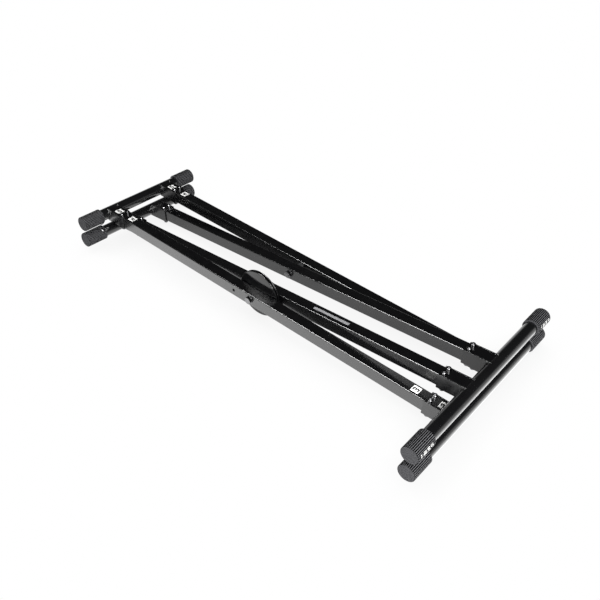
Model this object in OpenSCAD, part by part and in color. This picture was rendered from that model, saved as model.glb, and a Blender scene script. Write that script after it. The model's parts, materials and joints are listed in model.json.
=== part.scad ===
// Folding double-braced X keyboard stand, folded flat and lying down.
// X runs along the round cross tubes, Y from the feet to the keyboard supports, and Z is up.
// The origin is at the middle of the folded stand, under the lowest point of the lock discs.
// The outer frame has its feet low and its supports high, and the inner frame the other way
// round. Both turn about the pivot bolts, where their arms cross.

/* [Overall] */
// Distance between the axes of the foot tubes and of the support tubes
span = 1050; // [1000:5:1100]
// Bare tube between the outer brackets and the caps of each foot
foot_bare = 98.5; // [60:0.5:140]
// Bare tube between the outer brackets and the caps of each keyboard support
support_bare = 21.5; // [10:0.5:60]
// Height between the axes of two stacked tubes
stack_gap = 47.5; // [46:0.5:52]

/* [Round tubes] */
// Outside diameter of the round cross tubes
tube_d = 30; // [29:0.5:32]
// Wall of the round cross tubes
tube_wall = 1.5; // [1.2:0.1:2.5]

/* [Arms] */
// Height of the rectangular arm tubes
arm_h = 30; // [28:0.5:32]
// Width of the rectangular arm tubes
arm_w = 28; // [26:0.5:29]
// Wall of the rectangular arm tubes
arm_wall = 1.5; // [1.2:0.1:2]
// Radius of the arm tubes' outer corners
arm_corner = 1.8; // [1.2:0.1:3]
// Clear width between the two inner arms
inner_width = 68; // [60:1:90]
// Gap between each outer arm and the inner arm beside it
arm_gap = 14; // [12:0.5:18]
// Distance of the pivot from the axes of the foot tubes
pivot_from_foot = 534; // [500:2:550]
// How far the outer arms' middle line passes above the axis of their foot tube
foot_offset = 0.8; // [0:0.1:2]
// Clearance between an arm's notched end and the tube that it meets
arm_end_gap = 0.3; // [0.2:0.1:1]
// How far an arm's end stops short of the tube's axis
arm_end_setback = 2; // [1:0.5:5]

/* [Brackets] */
// Reach of the channel brackets from the tube's axis
bracket_reach = 66; // [60:1:80]
// Sheet thickness of the brackets
bracket_t = 2.5; // [1.5:0.1:3]
// Rise of the bracket walls above the arm's top
bracket_rise = 1.2; // [0.5:0.1:2]
// Clearance between an arm and each bracket wall
bracket_side_gap = 0.15; // [0.1:0.05:0.4]
// Radius of the bracket walls' free top corner
bracket_corner = 1.5; // [1:0.1:4]

/* [Frame bolts] */
// Thread diameter of the frame bolts
bolt_d = 6; // [5:0.5:6.5]
// Clearance all round a frame bolt in its holes
bolt_hole_gap = 0.25; // [0.1:0.05:0.5]
// Distance of the two bolts from the bracket's free end
bolt_setback = 10; // [8:0.5:14]
// Diameter of the bolts' cylindrical heads
bolt_head_d = 10; // [9.5:0.5:11]
// Height of the bolts' cylindrical heads
bolt_head_h = 6; // [5:0.1:7]
// Width across the flats of the bolts' key socket
bolt_socket = 5; // [4:0.5:5.5]
// Depth of the bolts' key socket
bolt_socket_depth = 3; // [2:0.1:3.5]
// Diameter of the frame washers
washer_d = 11; // [10.5:0.5:12.5]
// Thickness of the frame washers
washer_t = 1.2; // [1:0.1:1.8]
// Width across the flats of the frame nuts
nut_flats = 10; // [9:0.5:11]
// Height of the frame nuts
nut_h = 5; // [4:0.5:6]
// How far a bolt stands out past its nut
bolt_tip = 1.5; // [0.5:0.5:3]

/* [End caps] */
// Outside diameter of the rubber end caps
cap_d = 38; // [36.5:0.5:41]
// Length of the end caps
cap_length = 56; // [46:1:62]
// Thickness of a cap's closed end
cap_end_t = 4; // [3:0.5:8]
// Clearance between a cap and its tube
cap_fit = 0.1; // [0.05:0.05:0.3]
// Number of lengthwise ribs round a cap
cap_ribs = 32; // [24:1:34]
// Radius of the round grooves between the ribs
cap_groove_r = 0.95; // [0.6:0.05:1.1]
// Plain band left at each end of the ribs
cap_plain_band = 1.8; // [1:0.1:4]
// Rounding of the cap's outer end edge
cap_end_round = 1.2; // [0.8:0.1:1.6]
// Diameter of the cap screws' heads
screw_head_d = 10; // [8:0.5:11]
// Height of the cap screws' heads
screw_head_h = 2.8; // [2:0.1:3.5]
// Length of each arm of the cross slot in a cap screw's head
screw_slot_l = 5.2; // [4:0.2:6]
// Width of the cross slot
screw_slot_w = 1.2; // [1:0.1:1.5]
// Depth of the cross slot
screw_slot_depth = 1.4; // [1:0.1:1.6]
// Shank diameter of the cap screws
screw_d = 3.6; // [3:0.1:4.2]
// Clearance all round a cap screw in its holes
screw_gap = 0.1; // [0.05:0.05:0.3]
// Distance of a cap screw from the cap's open end
screw_from_edge = 7; // [6:0.5:12]
// How far a screw's point stands inside the tube wall
screw_tip = 3; // [2:0.5:5]
// Turn of the cap screws from level, towards the other frame's tube
screw_turn = 45; // [35:5:55]

/* [Pivot] */
// Diameter of the pivot bolts
pivot_d = 10; // [9:0.5:11]
// Running clearance between a pivot bolt and its bushes
pivot_clearance = 0.05; // [0.03:0.01:0.08]
// Width across the flats of the pivot bolts' heads and nuts
pivot_flats = 16; // [15:0.5:17]
// Height of the pivot bolts' heads
pivot_head_h = 5.6; // [5:0.2:8]
// Height of the pivot nuts
pivot_nut_h = 6; // [5:0.5:8]
// Diameter of the pivot washers
pivot_washer_d = 19; // [18.5:0.5:24]
// Thickness of the pivot washers
pivot_washer_t = 1.5; // [1.2:0.1:2.5]
// How far a pivot bolt stands out past its nut
pivot_tip = 1; // [0.5:0.5:4]
// Wall of the pivot bushes
bush_wall = 2; // [1.5:0.1:3]
// Diameter of the spacers on the pivot bolts
spacer_d = 20; // [18:0.5:24]
// Play between the faces that turn against each other
face_gap = 0.3; // [0.2:0.05:0.5]

/* [Lock discs] */
// Diameter of the two lock discs
disc_d = 115; // [100:1:124]
// Sheet thickness of the lock discs
disc_t = 2.5; // [2:0.1:3]
// Diameter of the discs' flat middle
disc_flat_d = 40; // [34:1:48]
// How far a disc's edge is dished away from its arm
disc_dish = 2.6; // [1.5:0.1:3]
// Distance of the lock pin from the pivot
lock_r = 38; // [34:0.5:42]
// Number of opening angles that the stand locks at
lock_holes = 5; // [3:1:6]
// Smallest opening angle that the stand locks at
lock_first = 48; // [40:1:60]
// Angle between two lock holes
lock_step = 18; // [16:1:20]
// Diameter of the small sight hole in the left outer arm
sight_hole_d = 7.5; // [3:0.5:9]
// Distance of the sight hole from the pivot
sight_hole_r = 50; // [44:1:70]

/* [Lock pin] */
// Diameter of the lock pin's nose
pin_d = 8; // [7:0.5:9]
// Diameter of the lock pin's stem
stem_d = 5; // [4:0.5:5.5]
// Diameter of the lock pin's collar
collar_d = 12; // [11:0.5:12.5]
// Thickness of the lock pin's collar
collar_t = 2; // [1.5:0.5:3]
// Running clearance round the nose, the collar and the stem
pin_clearance = 0.08; // [0.05:0.01:0.1]
// Clearance all round the nose in the discs' holes
pin_hole_gap = 0.35; // [0.2:0.05:0.5]
// How far the lock pin's nose goes into the outer disc
pin_drop = 4; // [3:0.5:4]
// Wall of the lock pin's barrel
barrel_wall = 1.4; // [1.2:0.1:1.6]
// Length of the barrel's front guide
guide_length = 6; // [5:0.5:8]
// Thickness of the gland that closes the barrel
gland_t = 4; // [3:0.5:4.5]
// Wire diameter of the lock spring
spring_wire = 0.9; // [0.7:0.1:1]
// Number of coils in the lock spring
spring_coils = 5; // [4:1:5]
// Diameter of the pull knob
knob_d = 17; // [15:0.5:18]
// Length of the pull knob
knob_length = 13; // [10:0.5:14]
// Number of grip grooves round the knob
knob_grooves = 12; // [8:1:14]
// Radius of the knob's grip grooves
knob_groove_r = 1; // [0.8:0.1:1.2]

/* [Hidden] */
sides = ["left", "right"];
frames = ["outer", "inner"];
ends = ["foot", "support"];

$fn = 64;
// Facets of the large circles that the dished discs are cut from
dish_fn = 720;
// Overrun of cuts past the faces that they go through
over = 1;

// Heights and places along the stand
low_z = max(disc_d, stack_gap + cap_d) / 2 - stack_gap / 2;
high_z = low_z + stack_gap;
pivot_z = (low_z + high_z) / 2;
foot_y = -span / 2;
support_y = span / 2;
pivot_y = foot_y + pivot_from_foot;
// Slope of the folded arms, up on the outer frame and down on the inner one
fold_pitch = atan((stack_gap / 2 - foot_offset) / pivot_from_foot);

// Places of the arms and brackets across the stand, on its right half
inner_arm_x = inner_width / 2 + arm_w / 2;
outer_arm_x = inner_arm_x + arm_w + arm_gap;
outer_face_x = outer_arm_x + arm_w / 2;
outer_inside_x = outer_arm_x - arm_w / 2;
inner_outside_x = inner_arm_x + arm_w / 2;
inner_face_x = inner_arm_x - arm_w / 2;
bracket_outside_x = outer_face_x + bracket_side_gap + bracket_t;
// The two bolts of a joint stand as far apart as their washers can on the arm's top
bolt_spacing = arm_w - washer_d;
// Radius of the arm tubes' inner corners, never quite sharp
arm_inner_corner = max(arm_corner - arm_wall, arm_wall / 10);

// Signs of a frame, an end and a side
function pitch_sign(frame) = frame == "outer" ? 1 : -1;
function y_sign(end) = end == "foot" ? -1 : 1;
function x_sign(side) = side == "left" ? -1 : 1;
function arm_x(frame) = frame == "outer" ? outer_arm_x : inner_arm_x;
function reach_x(end) = bracket_outside_x + (end == "foot" ? foot_bare : support_bare) + cap_length;
function tube_y(end) = end == "foot" ? foot_y : support_y;
function tube_z(frame, end) = (frame == "outer") == (end == "foot") ? low_z : high_z;
// Distance of a cross tube from the pivot, measured along the sloping arms
function arm_reach(end) = abs(tube_y(end) - pivot_y) / cos(fold_pitch);

// Places along a pivot bolt, from the outer arm's outer face inwards
bush_d = pivot_d + 2 * pivot_clearance + 2 * bush_wall;
arms_depth = outer_face_x - inner_face_x;
nut_start = arms_depth + face_gap + pivot_washer_t;
function bush_start(side) = arm_w + arm_gap - (side == "left" ? disc_t : 0);

// Radius of the sphere that a disc's dish lies on, and how deep the dish is at a radius
dish_r = (pow(disc_d / 2, 2) - pow(disc_flat_d / 2, 2)) / (2 * disc_dish);
dish_start = dish_r - sqrt(pow(dish_r, 2) - pow(disc_flat_d / 2, 2));
function dish_at(r) = dish_r - sqrt(pow(dish_r, 2) - pow(r, 2)) - dish_start;

// Places along the lock pin, from the outer arm's inner face inwards
nose_start = disc_t + dish_at(lock_r + pin_d / 2) + face_gap;
barrel_start = arm_gap;
chamber_start = barrel_start + guide_length;
collar_start = chamber_start + pin_drop;
gland_start = arm_gap + arm_w - gland_t;
chamber_d = collar_d + 2 * pin_clearance;
barrel_d = chamber_d + 2 * barrel_wall;
spring_start = collar_start + collar_t;
knob_start = arm_gap + arm_w + face_gap;
// How deep the stem goes into the knob
knob_grip = knob_length * 2 / 3;

color_steel = [0.06, 0.06, 0.065];
color_rubber = [0.16, 0.16, 0.17];
color_zinc = [0.72, 0.72, 0.7];
color_nylon = [0.85, 0.84, 0.8];

// Puts a shape that is drawn along +Z on its place along +Y
module along_y() {
    rotate([-90, 0, 0]) children();
}

// Puts a shape that is drawn along +Z across the stand, towards +X
module along_x() {
    rotate([0, 90, 0]) children();
}

// The frame of one arm: its pivot is the origin, its length runs along Y and its width along X
module on_arm(frame, side) {
    translate([x_sign(side) * arm_x(frame), pivot_y, pivot_z])
        rotate([pitch_sign(frame) * fold_pitch, 0, 0])
            children();
}

// The frame of one end of an arm: the tube's axis is below Y 0, and the arm runs towards +Y
module on_arm_end(frame, end, side) {
    on_arm(frame, side)
        translate([0, y_sign(end) * arm_reach(end), 0])
            scale([1, -y_sign(end), 1])
                children();
}

// The places of the two bolts of one joint, with Z up through the arm
module at_bolts(frame, end, side) {
    on_arm_end(frame, end, side)
        for (i = [-1, 1])
            translate([i * bolt_spacing / 2, bracket_reach - bolt_setback, 0])
                children();
}

// A rectangle with round corners
module round_rectangle(w, h, r) {
    square([w - 2 * r, h], center = true);
    square([w, h - 2 * r], center = true);
    for (i = [-1, 1], j = [-1, 1])
        translate([i * (w / 2 - r), j * (h / 2 - r)]) circle(r);
}

// A hexagonal prism, measured across its flats
module hexagon(flats, h) {
    cylinder(d = flats / cos(30), h = h, $fn = 6);
}

// A hexagon whose corners are chamfered at its upper end
module chamfered_hexagon(flats, h) {
    top_d = flats * 0.95;
    intersection() {
        hexagon(flats, h);
        cylinder(d1 = top_d + 2 * h / tan(30), d2 = top_d, h = h);
    }
}

// A plain ring
module ring(outer_d, inner_d, h) {
    difference() {
        cylinder(d = outer_d, h = h);
        translate([0, 0, -over]) cylinder(d = inner_d, h = h + 2 * over);
    }
}

// The solid space of one cross tube, grown by a gap
module tube_space(frame, end, gap) {
    translate([-reach_x(end), tube_y(end), tube_z(frame, end)])
        along_x() cylinder(d = tube_d + 2 * gap, h = 2 * reach_x(end));
}

// The places of the two cap screws of a tube, with Z pointing out of the tube
module at_cap_screws(frame, end) {
    facing = pitch_sign(frame) * -y_sign(end);
    for (side = sides)
        translate([x_sign(side) * (reach_x(end) - cap_length + screw_from_edge),
                   tube_y(end), tube_z(frame, end)])
            rotate([y_sign(end) * (90 - facing * screw_turn), 0, 0])
                children();
}

// A round cross tube, open at both ends, with a hole for each cap screw
module cross_tube(frame, end) {
    length = 2 * (reach_x(end) - cap_end_t);
    color(color_steel)
        difference() {
            translate([-length / 2, tube_y(end), tube_z(frame, end)])
                along_x() ring(tube_d, tube_d - 2 * tube_wall, length);
            at_cap_screws(frame, end)
                cylinder(d = screw_d + 2 * screw_gap, h = tube_d);
        }
}

// A rectangular arm tube, notched to both cross tubes and drilled for its bolts
module arm(frame, side) {
    near = arm_reach("foot") - arm_end_setback;
    far = arm_reach("support") - arm_end_setback;
    color(color_steel)
        difference() {
            on_arm(frame, side)
                translate([0, -near, 0]) along_y()
                    difference() {
                        linear_extrude(near + far) round_rectangle(arm_w, arm_h, arm_corner);
                        translate([0, 0, -over]) linear_extrude(near + far + 2 * over)
                            round_rectangle(arm_w - 2 * arm_wall, arm_h - 2 * arm_wall,
                                            arm_inner_corner);
                    }
            for (end = ends) {
                tube_space(frame, end, arm_end_gap);
                at_bolts(frame, end, side)
                    translate([0, 0, -arm_h / 2 - over])
                        cylinder(d = bolt_d + 2 * bolt_hole_gap, h = arm_h + 2 * over);
            }
            on_arm(frame, side) translate([-arm_w / 2 - over, 0, 0]) along_x()
                cylinder(d = frame == "outer" ? pivot_d + 2 * pivot_clearance : bush_d,
                         h = arm_w + 2 * over);
            if (side == "left") lock_hole_in_arm(frame);
        }
}

// The holes of the left arms: a sight hole outside, and the barrel's seat inside
module lock_hole_in_arm(frame) {
    if (frame == "outer")
        on_arm(frame, "left") translate([-arm_w / 2 - over, sight_hole_r, 0]) along_x()
            cylinder(d = sight_hole_d, h = arm_wall + 2 * over);
    else
        on_arm(frame, "left") translate([-arm_w / 2 - over, lock_r, 0]) along_x()
            cylinder(d = barrel_d, h = arm_w + 2 * over);
}

// A channel bracket, welded to its tube, that holds an arm's end from below and both sides
module bracket(frame, end, side) {
    inside = arm_w + 2 * bracket_side_gap;
    outside = inside + 2 * bracket_t;
    color(color_steel)
        difference() {
            on_arm_end(frame, end, side)
                difference() {
                    translate([-outside / 2, 0, 0])
                        rotate([90, 0, 90]) linear_extrude(outside) bracket_outline();
                    translate([-inside / 2, -over, -arm_h / 2])
                        cube([inside, bracket_reach + 2 * over, arm_h + bracket_rise + over]);
                }
            tube_space(frame, end, 0);
            at_bolts(frame, end, side)
                translate([0, 0, -arm_h / 2 - bracket_t - over])
                    cylinder(d = bolt_d + 2 * bolt_hole_gap, h = bracket_t + 2 * over);
        }
}

// A bracket seen from its side: its wall laps over the tube and has a round free top corner
module bracket_outline() {
    bottom = -arm_h / 2 - bracket_t;
    top = arm_h / 2 + bracket_rise;
    corner_y = bracket_reach - bracket_corner;
    polygon([[arm_end_setback, bottom], [bracket_reach, bottom],
             [bracket_reach, top - bracket_corner], [corner_y, top], [arm_end_setback, top]]);
    translate([corner_y, top - bracket_corner]) circle(bracket_corner);
}

// The bolts, washers and nuts of one frame's joints
module frame_bolts(frame) {
    color(color_zinc)
        for (end = ends, side = sides)
            at_bolts(frame, end, side) frame_bolt();
}

module frame_bolt() {
    top = arm_h / 2 + washer_t;
    bottom = arm_h / 2 + bracket_t + washer_t + nut_h + bolt_tip;
    translate([0, 0, -bottom]) cylinder(d = bolt_d, h = bottom + top);
    translate([0, 0, top])
        difference() {
            cap_head(bolt_head_d, bolt_head_h);
            translate([0, 0, bolt_head_h - bolt_socket_depth]) hexagon(bolt_socket, bolt_head_h);
        }
}

// A cylindrical screw head with a bevelled upper edge
module cap_head(d, h) {
    bevel = h / 8;
    rotate_extrude()
        polygon([[0, 0], [d / 2, 0], [d / 2, h - bevel], [d / 2 - bevel, h], [0, h]]);
}

// A screw head with a low straight rim and a round crown
module domed_head(d, h) {
    crown = h * 3 / 4;
    r = (pow(d / 2, 2) + pow(crown, 2)) / (2 * crown);
    rotate_extrude()
        intersection() {
            translate([0, h - r]) circle(r);
            square([d / 2, h]);
        }
}

module frame_washers(frame) {
    color(color_zinc)
        for (end = ends, side = sides)
            at_bolts(frame, end, side) {
                translate([0, 0, arm_h / 2])
                    ring(washer_d, bolt_d + 2 * bolt_hole_gap, washer_t);
                translate([0, 0, -arm_h / 2 - bracket_t - washer_t])
                    ring(washer_d, bolt_d + 2 * bolt_hole_gap, washer_t);
            }
}

module frame_nuts(frame) {
    color(color_zinc)
        for (end = ends, side = sides)
            at_bolts(frame, end, side)
                translate([0, 0, -arm_h / 2 - bracket_t - washer_t]) rotate([180, 0, 0])
                    difference() {
                        chamfered_hexagon(nut_flats, nut_h);
                        translate([0, 0, -over]) cylinder(d = bolt_d, h = nut_h + 2 * over);
                    }
}

// A ribbed rubber cap over the end of a cross tube
module end_cap(frame, end, side) {
    color(color_rubber)
        difference() {
            translate([x_sign(side) * (reach_x(end) - cap_length),
                       tube_y(end), tube_z(frame, end)])
                scale([x_sign(side), 1, 1]) along_x()
                    difference() {
                        cap_body();
                        for (i = [0:cap_ribs - 1])
                            rotate([0, 0, (i + 1 / 2) * 360 / cap_ribs])
                                translate([cap_d / 2, 0, cap_plain_band])
                                    cylinder(r = cap_groove_r, h = cap_length - 2 * cap_plain_band,
                                             $fn = 16);
                    }
            at_cap_screws(frame, end)
                cylinder(d = screw_d + 2 * screw_gap, h = cap_d);
        }
}

module cap_body() {
    rotate_extrude()
        difference() {
            union() {
                square([cap_d / 2, cap_length - cap_end_round]);
                square([cap_d / 2 - cap_end_round, cap_length]);
                translate([cap_d / 2 - cap_end_round, cap_length - cap_end_round])
                    circle(cap_end_round, $fn = 32);
            }
            translate([0, -over])
                square([tube_d / 2 + cap_fit, cap_length - cap_end_t + over]);
        }
}

// Cap screws: a domed head on the cap, and a shank through the cap and the tube wall
module cap_screws(frame, end) {
    color(color_zinc)
        at_cap_screws(frame, end) {
            translate([0, 0, tube_d / 2 - tube_wall - screw_tip])
                cylinder(d = screw_d, h = cap_d / 2 - tube_d / 2 + tube_wall + screw_tip);
            translate([0, 0, cap_d / 2])
                difference() {
                    domed_head(screw_head_d, screw_head_h);
                    translate([0, 0, screw_head_h - screw_slot_depth]) rotate([0, 0, 45])
                        linear_extrude(screw_head_h)
                            union() {
                                square([screw_slot_l, screw_slot_w], center = true);
                                square([screw_slot_w, screw_slot_l], center = true);
                            }
                }
        }
}

// The frame of a pivot: on its axis at the outer arm's outer face, with Z pointing inwards
module on_pivot(side) {
    translate([x_sign(side) * outer_face_x, pivot_y, pivot_z])
        scale([-x_sign(side), 1, 1]) along_x() children();
}

module pivot_bolts() {
    color(color_zinc)
        for (side = sides)
            on_pivot(side) {
                translate([0, 0, -pivot_washer_t])
                    cylinder(d = pivot_d, h = pivot_washer_t + nut_start + pivot_nut_h + pivot_tip);
                translate([0, 0, -pivot_washer_t]) rotate([180, 0, 30])
                    chamfered_hexagon(pivot_flats, pivot_head_h);
            }
}

module pivot_washers() {
    color(color_zinc)
        for (side = sides)
            on_pivot(side) {
                translate([0, 0, -pivot_washer_t])
                    ring(pivot_washer_d, pivot_d + 2 * pivot_clearance, pivot_washer_t);
                translate([0, 0, nut_start - pivot_washer_t])
                    ring(pivot_washer_d, pivot_d + 2 * pivot_clearance, pivot_washer_t);
            }
}

module pivot_nuts() {
    color(color_zinc)
        for (side = sides)
            on_pivot(side)
                translate([0, 0, nut_start]) rotate([0, 0, 30])
                    difference() {
                        chamfered_hexagon(pivot_flats, pivot_nut_h);
                        translate([0, 0, -over]) cylinder(d = pivot_d, h = pivot_nut_h + 2 * over);
                    }
}

// Spacers on the pivot bolts: between the two discs on the left, between the arms on the right
module pivot_spacer(side) {
    start = arm_w + (side == "left" ? disc_t : 0);
    depth = bush_start(side) - start - face_gap;
    color(color_nylon)
        on_pivot(side)
            translate([0, 0, start]) ring(spacer_d, pivot_d + 2 * pivot_clearance, depth);
}

// Nylon bushes through the inner arms; the left one goes through the inner disc too
module pivot_bushes() {
    color(color_nylon)
        for (side = sides)
            on_pivot(side)
                difference() {
                    translate([0, 0, bush_start(side)])
                        cylinder(d = bush_d, h = arms_depth - bush_start(side));
                    cylinder(d = pivot_d + 2 * pivot_clearance, h = arms_depth + over);
                }
}

// A dished steel disc: flat in the middle, then part of a sphere, curving towards +Z
module dished_disc() {
    rotate_extrude()
        difference() {
            intersection() {
                translate([0, dish_r - dish_start]) circle(dish_r, $fn = dish_fn);
                square([disc_d / 2, dish_at(disc_d / 2) + 2 * disc_t]);
                rim_cut();
            }
            intersection() {
                translate([0, dish_r - dish_start]) circle(dish_r - disc_t, $fn = dish_fn);
                translate([0, disc_t]) square([disc_d, disc_d]);
            }
        }
}

// Rounds the disc's edge where it shows
module rim_cut() {
    square([disc_d / 2 - disc_t / 2, disc_d]);
    translate([disc_d / 2 - disc_t / 2, disc_dish + disc_t / 2]) circle(disc_t / 2);
}

// The outer disc, on the left outer arm, with a hole at each locking angle
module lock_disc_outer() {
    color(color_steel)
        difference() {
            on_pivot("left") translate([0, 0, arm_w])
                difference() {
                    dished_disc();
                    translate([0, 0, -over])
                        cylinder(d = pivot_d + 2 * pivot_clearance, h = disc_t + 2 * over);
                }
            for (i = [0:lock_holes - 1])
                translate([-outer_inside_x - over, pivot_y, pivot_z])
                    rotate([-fold_pitch - lock_first - i * lock_step, 0, 0])
                        translate([0, lock_r, 0]) along_x()
                            cylinder(d = pin_d + 2 * pin_hole_gap, h = arm_gap);
        }
}

// The inner disc, on the left inner arm, with one hole for the pin's nose
module lock_disc_inner() {
    color(color_steel)
        difference() {
            translate([-inner_outside_x, pivot_y, pivot_z]) rotate([0, -90, 0])
                difference() {
                    dished_disc();
                    translate([0, 0, -over]) cylinder(d = bush_d, h = disc_t + 2 * over);
                }
            on_arm("inner", "left") translate([-arm_w / 2 - arm_gap, lock_r, 0]) along_x()
                cylinder(d = pin_d + 2 * pin_hole_gap, h = arm_gap + over);
        }
}

// The frame of the lock pin: on its axis at the outer arm's inner face, with Z pointing inwards
module on_pin() {
    on_arm("inner", "left")
        translate([-arm_w / 2 - arm_gap, lock_r, 0]) along_x() children();
}

// The barrel through the left inner arm: a guide in front and a chamber for the spring
module lock_barrel() {
    color(color_zinc)
        on_pin()
            translate([0, 0, barrel_start])
                difference() {
                    cylinder(d = barrel_d, h = arm_w);
                    translate([0, 0, -over])
                        cylinder(d = pin_d + 2 * pin_clearance, h = guide_length + 2 * over);
                    translate([0, 0, guide_length]) cylinder(d = chamber_d, h = arm_w);
                }
}

// The gland that closes the barrel and guides the stem
module lock_gland() {
    color(color_zinc)
        on_pin()
            translate([0, 0, gland_start]) ring(chamber_d, stem_d + 2 * pin_clearance, gland_t);
}

// The pin: its nose rests just off the outer disc, and its collar carries the spring
module lock_pin() {
    nose_round = pin_d / 8;
    straight = nose_start + nose_round;
    color(color_zinc)
        on_pin()
            rotate_extrude()
                union() {
                    translate([0, nose_start])
                        square([stem_d / 2, knob_start + knob_grip - nose_start]);
                    translate([0, nose_start]) square([pin_d / 2 - nose_round, 2 * nose_round]);
                    translate([pin_d / 2 - nose_round, straight])
                        circle(nose_round, $fn = 32);
                    translate([0, straight])
                        square([pin_d / 2, collar_start + collar_t / 2 - straight]);
                    translate([0, collar_start]) square([collar_d / 2, collar_t]);
                }
}

// The pull knob, on the stem, with grip grooves and a round crown
module lock_knob() {
    crown = knob_length / 4;
    color(color_rubber)
        on_pin()
            translate([0, 0, knob_start])
                difference() {
                    union() {
                        cylinder(d = knob_d, h = knob_length - crown);
                        translate([0, 0, knob_length - 2 * crown])
                            domed_head(knob_d, 2 * crown);
                    }
                    translate([0, 0, -over])
                        cylinder(d = stem_d, h = knob_grip + over);
                    for (i = [0:knob_grooves - 1])
                        rotate([0, 0, i * 360 / knob_grooves])
                            translate([knob_d / 2, 0, crown / 2])
                                cylinder(r = knob_groove_r, h = knob_length - crown, $fn = 16);
                }
}

// The spring between the collar and the gland: a wire swept along a helix
module lock_spring() {
    steps = 16;
    wire_sides = 6;
    seat = spring_wire / 2 + face_gap / 2;
    mean_r = (stem_d + collar_d) / 4;
    length = gland_start - spring_start - 2 * seat;
    rings = spring_coils * steps;
    points = [for (i = [0:rings], k = [0:wire_sides - 1])
        let (turn = 360 * i / steps, a = 360 * k / wire_sides, r = mean_r + spring_wire / 2 * cos(a))
        [r * cos(turn), r * sin(turn), length * i / rings + spring_wire / 2 * sin(a)]];
    walls = [for (i = [0:rings - 1], k = [0:wire_sides - 1])
        let (a = i * wire_sides + k, b = i * wire_sides + (k + 1) % wire_sides)
        each [[a, a + wire_sides, b], [b, a + wire_sides, b + wire_sides]]];
    start_cap = [for (k = [1:wire_sides - 2]) [0, k, k + 1]];
    last = rings * wire_sides;
    end_cap = [for (k = [1:wire_sides - 2]) [last, last + k + 1, last + k]];
    color(color_zinc)
        on_pin()
            translate([0, 0, spring_start + seat])
                polyhedron(points, concat(walls, start_cap, end_cap));
}

for (f = frames, e = ends)
    cross_tube(f, e);
for (f = frames, s = sides)
    arm(f, s);
for (f = frames, e = ends, s = sides)
    bracket(f, e, s);
for (f = frames, e = ends, s = sides)
    end_cap(f, e, s);
for (f = frames)
    frame_bolts(f);
for (f = frames)
    frame_washers(f);
for (f = frames)
    frame_nuts(f);
for (f = frames, e = ends)
    cap_screws(f, e);
pivot_bolts();
pivot_washers();
pivot_nuts();
pivot_spacer("left");  // pivot_spacer_left
pivot_spacer("right");  // pivot_spacer_right
pivot_bushes();
lock_disc_outer();
lock_disc_inner();
lock_barrel();
lock_gland();
lock_spring();
lock_pin();
lock_knob();
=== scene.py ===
# %% [markdown]
# # A folding keyboard stand, folded flat
#
# The stand is two steel frames that cross at a pivot, like scissors. Its solids come from the
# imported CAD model, in metres, with X along the round tubes, Y from the feet to the keyboard
# supports and Z up. This lesson gives each solid its real finish, adds what is too fine or too
# flat for the solids, and lights it all as a studio picture on a white ground.

import json
from math import atan, cos, degrees, pi, radians, sin

import bpy
import numpy as np
from mathutils import Matrix, Vector


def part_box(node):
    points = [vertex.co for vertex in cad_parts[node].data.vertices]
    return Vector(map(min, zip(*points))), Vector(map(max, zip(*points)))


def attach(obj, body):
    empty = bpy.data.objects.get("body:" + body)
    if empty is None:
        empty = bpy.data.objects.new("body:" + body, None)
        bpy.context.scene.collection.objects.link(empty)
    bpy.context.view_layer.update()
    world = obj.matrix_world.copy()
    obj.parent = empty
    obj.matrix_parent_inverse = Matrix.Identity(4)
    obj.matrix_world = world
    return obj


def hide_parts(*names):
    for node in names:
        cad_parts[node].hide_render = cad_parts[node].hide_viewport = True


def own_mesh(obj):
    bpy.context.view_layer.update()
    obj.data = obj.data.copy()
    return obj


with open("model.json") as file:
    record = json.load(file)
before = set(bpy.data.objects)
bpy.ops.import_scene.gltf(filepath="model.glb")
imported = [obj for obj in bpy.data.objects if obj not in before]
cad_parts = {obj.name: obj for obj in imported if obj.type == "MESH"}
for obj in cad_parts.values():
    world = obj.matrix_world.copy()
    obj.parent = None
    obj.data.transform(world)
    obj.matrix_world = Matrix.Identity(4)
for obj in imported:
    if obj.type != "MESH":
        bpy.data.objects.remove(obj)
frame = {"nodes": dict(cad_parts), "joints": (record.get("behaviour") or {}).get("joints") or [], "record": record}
nodes = frame["nodes"]
joints = {joint["name"]: joint for joint in frame["joints"]}
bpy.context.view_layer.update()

# %% [markdown]
# ## Where the tubes and arms are
#
# Finishes and small pieces both need the places of the tubes, the pivot and the arms. They could
# be typed again from the CAD source, but read from the frame they stay right when it changes.
# Seen along X, the outer frame's foot tube is low and its support tube high, the inner frame's
# are the other way round, and the arms of both cross at the pivot.


# %% Places read from the frame
def box(node):
    """A node's lowest and highest corners, as arrays."""
    return [np.array(corner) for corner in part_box(node)]


def tube_axis(kind, end):
    """The y and z of a cross tube's axis, which is the middle of its box."""
    low, high = box(f"{kind}_{end}_tube")
    return (low[1:] + high[1:]) / 2


def radius_of(node):
    """The radius of a round solid along X: half of its height."""
    low, high = box(node)
    return (high[2] - low[2]) / 2


PIVOT_Y, PIVOT_Z = joints["fold"]["pos_m"][1:]
TUBE_R, CAP_R = radius_of("inner_foot_tube"), radius_of("inner_foot_cap_left")
TUBE_Y = tube_axis("outer", "support")[0]
HALF_STACK = tube_axis("outer", "support")[1] - PIVOT_Z
ARM_X = {kind: float(sum(box(f"{kind}_arm_right"))[0] / 2) for kind in ("outer", "inner")}
print("tube axes: %.4f m from the middle, %.5f m from the pivot's height" % (TUBE_Y, HALF_STACK))
print("arms at x:", {kind: round(x, 4) for kind, x in ARM_X.items()})

# %% [markdown]
# ## Colours and shader nodes
#
# Colours are written as the sRGB hex values that a designer would pick from a sample card, and
# one function turns them to the linear values that the shaders work in. A pattern's scale comes
# from a real size: noise of scale S has features about 1 / S metres across. One more function
# adds a shader node with its settings and links, so that each node below is a single statement.

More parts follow.
